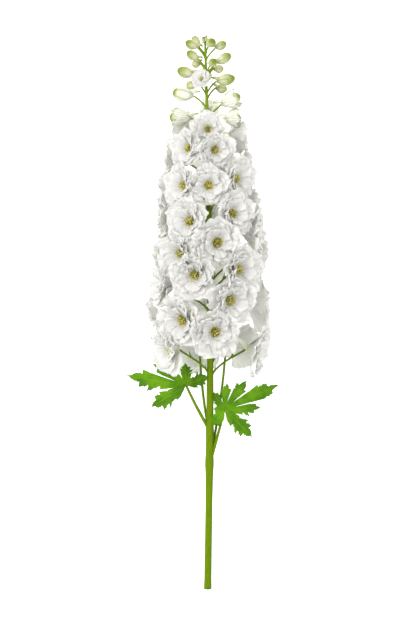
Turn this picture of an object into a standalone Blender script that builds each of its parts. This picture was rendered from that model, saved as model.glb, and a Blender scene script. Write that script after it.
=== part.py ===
"""A cut white delphinium spike, lying on a flat surface.

The stem runs along +Y, with its cut end at -Y and its youngest buds at +Y. The cut end and the petals of the
lowest florets rest on Z = 0. A place on the spike is a height, measured along the stem from the cut end, and
an azimuth round the stem, which is 0 straight up, +90 to +X and 180 straight down.
"""

import math
import random

import bmesh
import bpy
import numpy as np
from mathutils import Matrix, Vector

MM = 0.001

# Driving dimensions
SPIKE_LENGTH = 694 * MM
STEM_RADIUS_CUT = 4.4 * MM
# The stem's radius in mm at heights in mm
STEM_RADII = (
    (0, 4.4), (12, 4.0), (110, 3.9), (165, 4.5), (205, 4.1), (300, 3.4), (450, 3.0), (600, 1.7), (694, 1.2),
)
AXIS_RISE = 48 * MM  # how much higher the tip's axis lies than the cut end's
FLORET_SPAN = 68 * MM  # a fully open floret from side to side
RACHIS_FROM, RACHIS_TO = 304 * MM, 588 * MM  # the stretch of stem that bears open florets
THROAT_RADIUS = 49 * MM  # from the axis to a floret's base, where the spike is widest
FLORETS = 38
BLADE = 0.7 * MM  # petal and leaf thickness
CLEAR = 0.35 * MM  # half of the gap between two florets that press on each other
PRESSED = 14 * MM  # the least height of a floret's base above the surface

# Open florets that face the viewer: height in millimetres and azimuth in degrees
FACING_FLORETS = (
    (306, 76), (308, -58), (330, 6), (344, -35), (369, 25), (399, -19), (404, 37), (424, -40), (436, 10),
    (462, -27), (470, 33), (505, -41), (506, 0), (514, 47), (549, 12), (551, -38), (574, 1),
)
OPENING_FLORET = (637, -22)  # a small half-open floret among the buds

# Closed buds: height of the base in mm, azimuth in degrees, distance of the base from the axis in mm,
# slope of the bud above square to the stem in degrees, length and width in mm
BUDS = (
    (591, -84, 20, 4, 27, 16), (589, 98, 21, 8, 21, 15), (607, 80, 18, 22, 26, 15), (619, -86, 16.5, 10, 26, 16),
    (604, 176, 19, 6, 23, 15), (629, 126, 15, -4, 16, 11), (636, 84, 13, 8, 23, 13.5), (635, -128, 15, -4, 16, 11),
    (645, -84, 14.5, 16, 22, 13.5), (645, 176, 13, 8, 19, 12), (653, 130, 13, 2, 15, 10), (655, 34, 9, 22, 13, 10),
    (659, 84, 14, 28, 20, 12), (660, -134, 10, 2, 13, 10), (664, -76, 9, 31, 17, 11), (677, 82, 12.5, 23, 15, 10.5),
    (678, -66, 10.5, 22, 17, 11), (681, -128, 9.5, 55, 16, 10), (679, 34, 6.5, 26, 14, 11),
)

# A whorl of petals. In shares of a floret's half span: a petal's length and half width, and the radius and the
# height of the ring where the whorl's petals part. In degrees: a petal's lean from the floret's axis at its base
# and at its tip, and the turn of the whorl.
SEPALS = dict(count=5, length=0.93, half_width=0.54, lean=(42, 82), turn=0, ring=(0.18, 0.0), centre=-0.03)
INNER_PETALS = dict(count=5, length=0.64, half_width=0.34, lean=(26, 62), turn=36, ring=(0.15, 0.15), centre=0.1)

# A floret's heart, from the spur's tip to the top of the stamens: up, out and radius as shares of the half span
HEART = ((0.3, -0.58, 0.035), (0.17, -0.26, 0.09), (0, 0.04, 0.14), (0, 0.32, 0.08))
# Where a pedicel meets the heart, and the way it comes from: up and out
PEDICEL_MEETS, PEDICEL_FROM = (-0.05, -0.08), (-0.7, -0.71)

random_draw = random.Random(7)


# The stem's line

def axis_point(height):
    """The stem's centre at a height: it bows a little sideways, and sinks to its cut end."""
    along = height / SPIKE_LENGTH
    sideways = 3.4 * MM * math.sin(math.pi * along) - 3.5 * MM * along**3
    lift = STEM_RADIUS_CUT + AXIS_RISE * (1 - (1 - min(along, 1)) ** 2.6)
    return Vector((sideways, height - SPIKE_LENGTH / 2, lift))


def axis_frame(height):
    """(centre, right, up, along) at a height."""
    step = 2 * MM
    along = (axis_point(height + step) - axis_point(height - step)).normalized()
    right = along.cross(Vector((0, 0, 1))).normalized()
    return axis_point(height), right, right.cross(along), along


def stem_radius(height):
    """The stem is thickest at its foot and where the leaf stalks leave it."""
    return float(np.interp(height / MM, *zip(*STEM_RADII))) * MM


def place(height, azimuth, distance, slope):
    """A point beside the stem, and the frame (side, up, out) of what grows there. Angles are in degrees."""
    centre, right, up, along = axis_frame(height)
    turn, rise = math.radians(azimuth), math.radians(slope)
    radial = right * math.sin(turn) + up * math.cos(turn)
    out = radial * math.cos(rise) + along * math.sin(rise)
    side = along.cross(radial).normalized()
    return centre + radial * distance, (side, out.cross(side), out)


# Where the florets stand

def girth(height):
    """The distance from the axis to a floret's base: the spike narrows towards its tip."""
    share = (height - RACHIS_FROM) / (RACHIS_TO - RACHIS_FROM)
    return THROAT_RADIUS * (1 - 0.08 * share - 0.42 * share**3)


def floret_size(height):
    """Half the span of the florets at a height."""
    share = max(0, (height - RACHIS_FROM) / (RACHIS_TO - RACHIS_FROM))
    return FLORET_SPAN / 2 * (1 - 0.34 * share**2)


def floret_spots():
    """(height, azimuth) of each open floret: those that face the viewer, and the rest where most room is left."""
    spots = [(height * MM, float(azimuth)) for height, azimuth in FACING_FLORETS]
    rows, turns = 40, 72
    free = [
        (RACHIS_FROM + (RACHIS_TO - RACHIS_FROM - 12 * MM) * row / rows, turn * 360 / turns - 180)
        for row in range(rows + 1)
        for turn in range(turns)
    ]
    places = [place(h, a, girth(h), 0)[0] for h, a in free]
    taken = [place(h, a, girth(h), 0)[0] for h, a in spots]
    room = [min((p - t).length for t in taken) / floret_size(h) for p, (h, _) in zip(places, free)]
    while len(spots) < FLORETS - 1:
        best = max(range(len(free)), key=room.__getitem__)
        spots.append(free[best])
        room = [
            min(old, (p - places[best]).length / floret_size(h)) for old, p, (h, _) in zip(room, places, free)
        ]
    return spots


class Bloom:
    """What grows at the end of a pedicel: its base, and its frame of side, up and out."""

    def point(self, across, up, out):
        side, rise, forward = self.frame
        return self.base + side * across + rise * up + forward * out

    def matrix(self):
        side, rise, forward = self.frame
        turned = Matrix((side, rise, forward)).transposed().to_4x4()
        return Matrix.Translation(self.base) @ turned


class Floret(Bloom):
    """One open floret, with its size and the planes that its petals stay behind."""

    def __init__(self, name, height, azimuth, distance, size, slope):
        self.name, self.height, self.azimuth, self.size = name, height, azimuth, size
        self.base, self.frame = place(height, azimuth, distance, slope)
        downwards = -(self.base - axis_point(height)).normalized().z
        if downwards > 0 and self.base.z < PRESSED:
            lift = (PRESSED - self.base.z) / downwards
            self.base, self.frame = place(height, azimuth, distance - lift, slope)
        self.middle = self.base + self.frame[2] * size * 0.45
        self.planes = []

    def stay_behind(self, normal, on_plane, clearance):
        self.planes.append((np.array(normal), normal.dot(on_plane) - clearance))

    def fits(self, points):
        return all((points @ normal <= limit).all() for normal, limit in self.planes)


def make_florets():
    florets = []
    for number, (height, azimuth) in enumerate(floret_spots(), 1):
        slope = random_draw.uniform(-9, 9) - 10 * max(0, 1 - (height - RACHIS_FROM) / (30 * MM))
        size = floret_size(height) * random_draw.uniform(0.96, 1.05)
        florets.append(Floret(f"floret_{number:02d}", height, azimuth, girth(height), size, slope))
    height, azimuth = OPENING_FLORET
    florets.append(Floret(f"floret_{FLORETS:02d}", height * MM, azimuth, 12.5 * MM, 12.5 * MM, 12))
    return florets


def share_room(florets, buds, leaves):
    """Puts a plane between each two neighbours, leaning so that one laps over the other, and keeps petals off
    the surface that the spike lies on and out of the space behind the floret."""
    for index, one in enumerate(florets):
        for other in florets[index + 1 :]:
            apart = other.middle - one.middle
            if apart.length > (one.size + other.size) * 1.6:
                continue
            split = one.middle + apart * one.size / (one.size + other.size)
            lean = (one.frame[2] + other.frame[2]) * random_draw.uniform(0.0, 0.25)
            sign = 1 if other.height > one.height else -1
            normal = (apart.normalized() + lean * sign).normalized()
            one.stay_behind(normal, split, BLADE / 2 + CLEAR)
            other.stay_behind(-normal, split, BLADE / 2 + CLEAR)
        for bud in buds:
            normal = (bud.middle - one.middle).normalized()
            one.stay_behind(normal, bud.middle - normal * bud.reach(normal), BLADE / 2 + 2 * CLEAR)
        for leaf in leaves:
            nearest = min((vertex.co for vertex in leaf.data.vertices), key=lambda spot: (spot - one.middle).length)
            if (nearest - one.middle).length < 1.4 * one.size:
                one.stay_behind((nearest - one.middle).normalized(), nearest, BLADE + 2 * CLEAR)
        one.stay_behind(Vector((0, 0, -1)), Vector((0, 0, 0)), BLADE / 2)
        one.stay_behind(-one.frame[2], one.point(0, 0, -2 * MM), 0)


# Petals

class Petal:
    """A blade on a floret. Its middle line leans out from the floret's axis and its sides wrap round that axis,
    no further than the next petal of its whorl, with one side a little in front of the neighbour's."""

    def __init__(self, floret, whorl, number):
        self.floret = floret
        self.turn = math.radians(whorl["turn"] + number * 360 / whorl["count"])
        self.length = floret.size * whorl["length"] * random_draw.uniform(0.94, 1.06)
        self.half_width = floret.size * whorl["half_width"] * random_draw.uniform(0.95, 1.08)
        self.lean = [math.radians(angle + random_draw.uniform(-5, 5)) for angle in whorl["lean"]]
        self.phase = random_draw.uniform(0, 2 * math.pi)
        self.twist = math.radians(9)
        self.widest_angle = math.radians(180 / whorl["count"] - 2.5)
        self.whorl = whorl

    def width_at(self, along):
        """Half the blade's width: a narrow claw, then broad with a round end."""
        broadest = 0.66
        if along < broadest:
            return self.half_width * (0.24 + 0.76 * math.sin(math.pi / 2 * along / broadest) ** 1.3)
        return self.half_width * max(0, 1 - ((along - broadest) / (1.03 - broadest)) ** 2.6) ** 0.42

    def surface(self, across, along):
        """The point of the blade's middle surface at across, -1 to 1, and along, 0 to 1."""
        first, last = self.lean
        bend = last - first if abs(last - first) > 1e-3 else 1e-3
        lean = first + bend * along
        ring, rise = self.whorl["ring"]
        spread = ring * self.floret.size + self.length * (math.cos(first) - math.cos(lean)) / bend
        forward = rise * self.floret.size + self.length * (math.sin(lean) - math.sin(first)) / bend
        reach = min(self.widest_angle, self.width_at(along) / spread)
        wave = 0.06 * self.half_width * along**2 * math.sin(6 * along + 4 * across + self.phase)
        lift = self.twist * across * reach * spread + wave
        spread -= lift * math.cos(lean)
        forward += lift * math.sin(lean)
        turn = self.turn + across * reach
        return self.floret.point(math.sin(turn) * spread, math.cos(turn) * spread, forward)

    def samples(self):
        places = [(across, along) for along in (0.3, 0.5, 0.7, 0.86, 1.0) for across in (-1, -0.5, 0, 0.5, 1)]
        return np.array([self.surface(*place) for place in places])

    def bend_clear(self, behind=(), apart=0):
        """Leans the blade in or out, and shortens it if need be, until it keeps behind its floret's planes. It
        stays inside the petals behind it by the angle apart."""
        lean, length, half_width = list(self.lean), self.length, self.half_width
        most = [min([math.pi, *(petal.lean[end] - math.radians(apart) for petal in behind)]) for end in (0, 1)]
        for cut in (0, 0.08, 0.16, 0.24, 0.32, 0.4, 0.5, 0.6):
            for amount in sorted([*range(-60, 0, 6), *range(0, 48, 6)], key=abs):
                change = math.radians(amount)
                opened = [lean[0] + 0.6 * change, lean[1] + change]
                self.lean = [max(math.radians(3), min(pair)) for pair in zip(opened, most)]
                self.length = length * (1 - cut)
                self.half_width = half_width * (1 - 0.7 * cut)
                if self.floret.fits(self.samples()):
                    return


def petals_of(floret):
    """The sepals, and the inner petals, each of which stands up more than the two sepals behind it."""
    sepals = [Petal(floret, SEPALS, number) for number in range(SEPALS["count"])]
    for petal in sepals:
        petal.bend_clear()
    inner = [Petal(floret, INNER_PETALS, number) for number in range(INNER_PETALS["count"])]
    for number, petal in enumerate(inner):
        petal.bend_clear(behind=(sepals[number], sepals[(number + 1) % len(sepals)]), apart=14)
    return sepals, inner


# Meshes

def new_object(name, mesh, material=None):
    obj = bpy.data.objects.new(name, mesh)
    bpy.context.scene.collection.objects.link(obj)
    if material:
        mesh.materials.append(material)
    return obj


def thicken(obj):
    solid = obj.modifiers.new("Thickness", "SOLIDIFY")
    solid.thickness = BLADE
    solid.offset = 0
    return obj


def stitch(shape, lower, upper):
    """Joins two rows of vertices with triangles, taking the shorter diagonal each time."""
    i = j = 0
    while i < len(lower) - 1 or j < len(upper) - 1:
        ahead_lower = (i + 1) / max(1, len(lower) - 1)
        ahead_upper = (j + 1) / max(1, len(upper) - 1)
        if j == len(upper) - 1 or (i < len(lower) - 1 and ahead_lower <= ahead_upper):
            shape.faces.new((lower[i], lower[i + 1], upper[j]))
            i += 1
        else:
            shape.faces.new((lower[i], upper[j + 1], upper[j]))
            j += 1


def polygon(sides):
    """A flat curve of the given number of sides, for curves to be swept with."""
    outline = bpy.data.curves.new("section", "CURVE")
    spline = outline.splines.new("POLY")
    spline.points.add(sides - 1)
    spline.use_cyclic_u = True
    for number, point in enumerate(spline.points):
        turn = 2 * math.pi * (number + 0.5) / sides
        point.co = (math.cos(turn), math.sin(turn), 0, 1)
    section = bpy.data.objects.new("section", outline)
    bpy.context.scene.collection.objects.link(section)
    return section


def tube_object(name, centres, radii, sides):
    """A closed mesh tube of few sides, swept along the centres and capped at both ends."""
    section = polygon(sides)
    path = bpy.data.curves.new(name, "CURVE")
    path.dimensions = "3D"
    path.twist_mode = "Z_UP"
    path.bevel_mode = "OBJECT"
    path.bevel_object = section
    path.use_fill_caps = True
    spline = path.splines.new("POLY")
    spline.points.add(len(centres) - 1)
    for point, centre, radius in zip(spline.points, centres, radii):
        point.co = (*centre, 1)
        point.radius = radius
    swept = bpy.data.objects.new(name, path)
    bpy.context.scene.collection.objects.link(swept)
    graph = bpy.context.evaluated_depsgraph_get()
    mesh = bpy.data.meshes.new_from_object(swept.evaluated_get(graph))
    for helper in (swept, section):
        bpy.data.objects.remove(helper)
    shape = bmesh.new()
    shape.from_mesh(mesh)
    bmesh.ops.remove_doubles(shape, verts=shape.verts, dist=0.00001)
    bmesh.ops.recalc_face_normals(shape, faces=shape.faces)
    shape.to_mesh(mesh)
    shape.free()
    return new_object(name, mesh)


def joined(base, pieces, name, material, placed=Matrix()):
    """One closed mesh of the base and the pieces, by one Boolean union on a collection, applied. Its origin and
    axes are those of the matrix."""
    group = bpy.data.collections.new("to join")
    bpy.context.scene.collection.children.link(group)
    for piece in pieces:
        group.objects.link(piece)
    union = base.modifiers.new("Join", "BOOLEAN")
    union.operation = "UNION"
    union.operand_type = "COLLECTION"
    union.collection = group
    union.solver = "MANIFOLD"
    graph = bpy.context.evaluated_depsgraph_get()
    mesh = bpy.data.meshes.new_from_object(base.evaluated_get(graph))
    mesh.name = name
    mesh.materials.clear()
    mesh.transform(placed.inverted())
    whole = new_object(name, mesh, material)
    whole.matrix_world = placed
    for piece in [*pieces, base]:
        bpy.data.objects.remove(piece)
    bpy.data.collections.remove(group)
    return whole


def finish(name, colour, roughness):
    material = bpy.data.materials.new(name)
    material.use_nodes = True
    shader = material.node_tree.nodes["Principled BSDF"]
    shader.inputs["Base Color"].default_value = (*colour, 1)
    shader.inputs["Roughness"].default_value = roughness
    return material


# Florets

def whorl_object(petals, whorl, rows):
    """A whorl as one blade: its petals grow together up to a ring, and part there."""
    floret = petals[0].floret
    mesh = bpy.data.meshes.new("whorl")
    shape = bmesh.new()
    middle = shape.verts.new(floret.point(0, 0, whorl["centre"] * floret.size))
    radius, rise = (share * floret.size for share in whorl["ring"])
    ring = []
    for petal in petals:
        turn = petal.turn + math.pi / whorl["count"]
        ring.append(shape.verts.new(floret.point(math.sin(turn) * radius, math.cos(turn) * radius, rise)))
    for number, petal in enumerate(petals):
        lower = [ring[number - 1], ring[number]]
        stitch(shape, [middle], lower)
        for row in rows:
            upper = [shape.verts.new(petal.surface(*spot)) for spot in row]
            stitch(shape, lower, upper)
            lower = upper
    shape.to_mesh(mesh)
    shape.free()
    return thicken(new_object("whorl", mesh))


def floret_object(floret, material):
    """The floret's heart, from the spur's tip through the receptacle to the dome of stamens, with its petals."""
    size = floret.size
    stations = [(floret.point(0, up * size, out * size), radius * size) for up, out, radius in HEART]
    heart = tube_object("heart", [c for c, _ in stations], [r for _, r in stations], 5)
    sepals, inner = petals_of(floret)
    outer_whorl = whorl_object(sepals, SEPALS, [((-1, 0.5), (1, 0.5)), ((-1, 0.87), (0, 1.0), (1, 0.87))])
    inner_whorl = whorl_object(inner, INNER_PETALS, [((-1, 0.66), (0, 1.0), (1, 0.66))])
    return joined(heart, [outer_whorl, inner_whorl], floret.name, material, floret.matrix())


# Buds

class Bud(Bloom):
    """A closed bud: a pointed egg on its pedicel, with a spur that points back to the stem."""

    def __init__(self, name, height, azimuth, distance, slope, length, width):
        self.name, self.height, self.azimuth = name, height * MM, azimuth
        self.distance, self.length, self.width = distance * MM, length * MM, width * MM
        self.base, self.frame = place(self.height, azimuth, distance * MM, slope)
        self.middle = self.base + self.frame[2] * self.length / 2

    def reach(self, direction):
        """How far the bud reaches from its middle in a direction."""
        along = direction.dot(self.frame[2])
        return math.hypot(along * self.length / 2, math.sqrt(max(0, 1 - along * along)) * self.width / 2)


def bud_object(bud, material):
    """Six ribs, where the closed sepals meet, run from a narrow base over the belly to the tip."""
    outline = [(0.0, 0.24), (0.18, 0.76), (0.45, 1.0), (0.76, 0.78), (1.0, 0.12)]
    centres = [bud.point(0, 0, bud.length * along) for along, _ in outline]
    radii = [bud.width / 2 * share for _, share in outline]
    egg = tube_object("egg", centres, radii, 5)
    back = min(0.42, 0.45 * bud.distance / bud.length)
    spur = [(0.18, 0.16, 0.2), (0.34, -0.3 * back, 0.17), (0.38, -back, 0.08)]
    line = [bud.point(0, up * bud.width, out * bud.length) for up, out, _ in spur]
    tail = tube_object("tail", line, [radius * bud.width for _, _, radius in spur], 3)
    return joined(egg, [tail], bud.name, material, bud.matrix())


# The green parts

def pedicel_line(bloom, stop, back):
    """Centres of the stalk from inside the stem to just behind a bloom: it leaves steeply and turns outwards."""
    distance = (bloom.base - axis_point(bloom.height)).length
    drop = 9 * MM + 0.62 * distance
    centre, _, _, along = axis_frame(bloom.height - drop)
    first = centre + along * 0.35 * drop + (stop - centre) * 0.12
    last = stop + back * 0.34 * distance
    line = []
    for step in range(4):
        t = step / 3
        a, b, c, d = (1 - t) ** 3, 3 * t * (1 - t) ** 2, 3 * t * t * (1 - t), t**3
        line.append(centre * a + first * b + last * c + stop * d)
    thick = 1.05 * MM + 0.004 * distance
    return line, [thick * 1.25, thick, thick, thick]


def floret_pedicel(floret):
    _, rise, forward = floret.frame
    back = rise * PEDICEL_FROM[0] + forward * PEDICEL_FROM[1]
    up, out = PEDICEL_MEETS
    stop = floret.point(0, up * floret.size, out * floret.size) + back * 0.86 * MM
    return pedicel_line(floret, stop, back)


def bud_pedicel(bud):
    back = (-bud.frame[2] - bud.frame[1] * 0.5).normalized()
    return pedicel_line(bud, bud.base + back * 0.8 * MM, back)


# Where each leaf's stalk leaves the stem (height in mm, azimuth in degrees), where its blade begins (across,
# height and lift in mm), and its lobes in turn, from one side of the stalk round to the other: direction in
# degrees from +X towards +Y, length and half width in mm
LEAVES = dict(
    leaf_left=dict(
        node=(202, -70), base=(-30, 259, 3),
        lobes=((22, 30, 11), (92, 28, 10), (147, 50, 11), (171, 76, 15), (212, 52, 14)),
    ),
    leaf_right=dict(
        node=(160, 70), base=(18, 229, 3),
        lobes=((-45, 50, 13), (3, 46, 11), (24, 75, 15), (52, 46, 11), (84, 33, 9), (124, 26, 9), (233, 26, 11)),
    ),
)
# Thin side stalks that rise from the leaf axils and end among the lowest florets: points as (across, height,
# lift) in mm from the stem's line
SIDE_STALKS = (
    ((-2, 206, -1), (-9, 250, -5), (-13, 302, -3)),
    ((1, 166, -1), (13, 240, -5), (19, 300, -3)),
)
# Each lobe's margin: share of its length, and share of its half width out at a tooth or in at a notch
MARGIN = ((0.3, 0.7), (0.52, 1.06), (0.56, 0.72), (0.75, 0.76), (0.79, 0.42))


def leaf_stalk(leaf):
    height, azimuth = leaf["node"]
    start, _ = place(height * MM, azimuth, 0, 0)
    x, base_height, lift = leaf["base"]
    centre = axis_point(base_height * MM)
    end = centre + Vector((x, 0, lift)) * MM
    middle = start.lerp(end, 0.5) + Vector((0.03 * x, 0, 1)) * MM
    return [start, middle, end]


def leaf_object(name, leaf, material):
    """A palmate blade: toothed lobes that part a third of the way out, each folded a little along its midrib."""
    origin = leaf_stalk(leaf)[-1] + Vector((0, 0, 2.0 * MM))
    mesh = bpy.data.meshes.new(name)
    shape = bmesh.new()

    def at(direction, along, aside):
        turn = math.radians(direction)
        ahead = Vector((math.cos(turn), math.sin(turn), 0))
        left = Vector((-ahead.y, ahead.x, 0))
        droop = 0.9 * math.sin(along / MM / 7 + direction) - 0.0018 * (along / MM) ** 2 + 0.2 * abs(aside) / MM
        return shape.verts.new(origin + ahead * along + left * aside + Vector((0, 0, droop * MM)))

    heart = at(0, 0, 0)
    lobes = [(direction, length * MM, half_width * MM) for direction, length, half_width in leaf["lobes"]]
    sinuses = [
        at((lobe[0] + after[0]) / 2, 0.34 * min(lobe[1], after[1]), 0) for lobe, after in zip(lobes, lobes[1:])
    ]
    for number, (direction, length, half_width) in enumerate(lobes):
        beside = {-1: lobes[number - 1], 1: lobes[(number + 1) % len(lobes)]}
        rib = [heart, *(at(direction, length * along, 0) for along, _ in MARGIN)]
        tip = at(direction, length, 0)
        for sign in (-1, 1):
            apart = math.radians(min(80, sign * (beside[sign][0] - direction) % 360 / 2))
            margin = []
            for along, wide in MARGIN:
                most = length * along * math.tan(apart) - 0.5 * MM
                margin.append(at(direction, length * along, sign * min(half_width * wide, most)))
            sinus = number - 1 if sign < 0 else number
            if 0 <= sinus < len(sinuses):
                shape.verts.remove(margin[0])
                margin[0] = sinuses[sinus]
            stitch(shape, rib, [*margin, tip])
    bmesh.ops.recalc_face_normals(shape, faces=shape.faces)
    shape.to_mesh(mesh)
    shape.free()
    return thicken(new_object(name, mesh, material))


def stem_object(florets, buds, material):
    """The stem with its pedicels and leaf stalks, which grew as one."""
    heights = [h * MM for h in (0, 12, 60, 110, 165, 205, 250, 300, 360, 420, 480, 540, 600, 650, 692)]
    stem = tube_object("stalk", [axis_point(h) for h in heights], [stem_radius(h) for h in heights], 8)
    stalks = []
    lines = [floret_pedicel(floret) for floret in florets] + [bud_pedicel(bud) for bud in buds]
    for line, radii in lines:
        stalks.append(tube_object("pedicel", line, radii, 3))
    for leaf in LEAVES.values():
        stalks.append(tube_object("leaf stalk", leaf_stalk(leaf), [2.3 * MM, 1.8 * MM, 1.5 * MM], 5))
    for points in SIDE_STALKS:
        line = [axis_point(height * MM) + Vector((across, 0, lift)) * MM for across, height, lift in points]
        stalks.append(tube_object("side stalk", line, [1.7 * MM, 1.6 * MM, 1.4 * MM], 3))
    return joined(stem, stalks, "stem", material)


def settle():
    """Sets the lowest point on Z = 0 and the middle of the whole over the origin."""
    graph = bpy.context.evaluated_depsgraph_get()
    points = []
    for obj in bpy.data.objects:
        points += [obj.matrix_world @ vertex.co for vertex in obj.evaluated_get(graph).data.vertices]
    low = [min(point[axis] for point in points) for axis in range(3)]
    high = [max(point[axis] for point in points) for axis in range(3)]
    for obj in bpy.data.objects:
        obj.location -= Vector(((low[0] + high[0]) / 2, (low[1] + high[1]) / 2, low[2]))


def main():
    for obj in list(bpy.data.objects):
        bpy.data.objects.remove(obj)
    petal_white = finish("petal white", (0.86, 0.86, 0.83), 0.6)
    bud_green = finish("bud green", (0.62, 0.72, 0.38), 0.55)
    stem_green = finish("stem green", (0.16, 0.33, 0.04), 0.5)
    leaf_green = finish("leaf green", (0.12, 0.36, 0.05), 0.5)

    florets = make_florets()
    buds = [Bud(f"bud_{number:02d}", *numbers) for number, numbers in enumerate(BUDS, 1)]
    leaves = [leaf_object(name, leaf, leaf_green) for name, leaf in LEAVES.items()]
    share_room(florets, buds, leaves)
    for floret in florets:
        floret_object(floret, petal_white)
    for bud in buds:
        bud_object(bud, bud_green)
    stem_object(florets, buds, stem_green)
    settle()
    spike = bpy.data.collections.new("white delphinium spike")
    bpy.context.scene.collection.children.link(spike)
    for obj in list(bpy.context.scene.collection.objects):
        spike.objects.link(obj)
        bpy.context.scene.collection.objects.unlink(obj)


main()
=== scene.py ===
import math
import random

import bmesh
import bpy
import numpy as np
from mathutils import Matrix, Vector


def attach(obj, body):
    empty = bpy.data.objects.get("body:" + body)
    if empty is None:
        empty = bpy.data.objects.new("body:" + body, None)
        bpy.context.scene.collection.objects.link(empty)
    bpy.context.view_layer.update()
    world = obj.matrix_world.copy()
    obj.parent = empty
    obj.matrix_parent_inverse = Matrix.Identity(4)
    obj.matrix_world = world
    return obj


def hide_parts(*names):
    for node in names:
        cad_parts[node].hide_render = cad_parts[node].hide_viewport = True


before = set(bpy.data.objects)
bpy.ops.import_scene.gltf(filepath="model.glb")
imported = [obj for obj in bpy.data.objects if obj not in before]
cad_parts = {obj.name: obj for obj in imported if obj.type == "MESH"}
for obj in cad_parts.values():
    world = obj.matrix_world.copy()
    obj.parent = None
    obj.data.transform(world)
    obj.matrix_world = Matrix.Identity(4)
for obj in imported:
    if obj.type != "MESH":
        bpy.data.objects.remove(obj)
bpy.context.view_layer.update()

# Buds.
# The buds near the tip: eggs of five folded sepals, cream with green tips, and seams that are green and
# darkened by painted shade in their creases, each with a spur that points back to the stem. The lowest are
# white, and four of them start to open. Living tissue, each grown on its pedicel.

MM = 0.001
SPIKE_LENGTH = 694 * MM
FOOT_RADIUS = 4.4 * MM
STEM_BOW = 3.4 * MM
TIP_DRIFT = 3.5 * MM
AXIS_RISE = 48 * MM
RISE_POWER = 2.6
# From the stem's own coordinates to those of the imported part, which is centred and stands on its lowest petal
SHIFT = Vector((6.3919, 0.3588, -0.1217)) * MM
UP = Vector((0, 0, 1))

# Height up the stem, turn round it, distance from its centre, slope, length and width: mm and degrees
BUDS = (
    (591, -84, 20, 4, 27, 16), (589, 98, 21, 8, 21, 15), (607, 80, 18, 22, 26, 15),
    (619, -86, 16.5, 10, 26, 16), (604, 176, 19, 6, 23, 15), (629, 126, 15, -4, 16, 11),
    (636, 84, 13, 8, 23, 13.5), (635, -128, 15, -4, 16, 11), (645, -84, 14.5, 16, 22, 13.5),
    (645, 176, 13, 8, 19, 12), (653, 130, 13, 2, 15, 10), (655, 34, 9, 22, 13, 10),
    (659, 84, 14, 28, 20, 12), (660, -134, 10, 2, 13, 10), (664, -76, 9, 31, 17, 11),
    (677, 82, 12.5, 23, 15, 10.5), (678, -66, 10.5, 22, 17, 11), (681, -128, 9.5, 55, 16, 10),
    (679, 34, 6.5, 26, 14, 11),
)
OPENING_BELOW = 612 * MM
WHITE_BELOW = 625 * MM
YOUNG_FULLNESS = 1.03
WHITE_FULLNESS = 1.12
BUD_RINGS = 14
BUD_SIDES = 25
BUD_SEPALS = 5
SPUR_LENGTH = 0.42  # in bud lengths
SPUR_REACH = 0.45  # of the way to the stem's centre, at most
# The spur's line: up and radius in bud widths, and out in bud lengths, or behind the bud in spur lengths
BUD_SPUR = ((0.1, 0.2, 0.2), (0.24, 0.06, 0.19), (0.34, -0.3, 0.16), (0.385, -0.7, 0.11), (0.4, -1, 0.05))
OPENING_SEPALS = 6
OPENING_STEPS = 8
OPENING_THICKNESS = 0.3 * MM
BUD_WHITE = (0.84, 0.84, 0.77)
BUD_CREAM = (0.64, 0.63, 0.42)
BUD_PALE = (0.25, 0.31, 0.06)
BUD_TIP = (0.15, 0.22, 0.01)


def axis_point(height):
    """The stem's centre at a height above the cut end: it bows a little, and sinks to its cut end."""
    along = height / SPIKE_LENGTH
    sideways = STEM_BOW * math.sin(math.pi * along) - TIP_DRIFT * along**3
    lift = FOOT_RADIUS + AXIS_RISE * (1 - (1 - min(along, 1)) ** RISE_POWER)
    return Vector((sideways, height - SPIKE_LENGTH / 2, lift))


def axis_frame(height):
    """The stem's centre at a height, and its directions right, up and along."""
    step = 2 * MM
    along = (axis_point(height + step) - axis_point(height - step)).normalized()
    right = along.cross(UP).normalized()
    return axis_point(height), right, right.cross(along), along


def place(height, azimuth, distance, slope):
    """A point beside the stem, and the frame (side, up, out) of what grows there. Angles are in degrees."""
    centre, right, up, along = axis_frame(height)
    turn = math.radians(azimuth)
    rise = math.radians(slope)
    radial = right * math.sin(turn) + up * math.cos(turn)
    out = radial * math.cos(rise) + along * math.sin(rise)
    side = along.cross(radial).normalized()
    return centre + radial * distance, (side, out.cross(side), out)


def steps(count, low=0, high=1):
    """Evenly spaced numbers from low to high, both among them."""
    return [low + (high - low) * number / count for number in range(count + 1)]


class Bloom:
    """What grows at the end of a pedicel: its base, and its frame of side, up and out."""

    def point(self, across, up, out):
        side, rise, forward = self.frame
        return self.base + side * across + rise * up + forward * out


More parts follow.
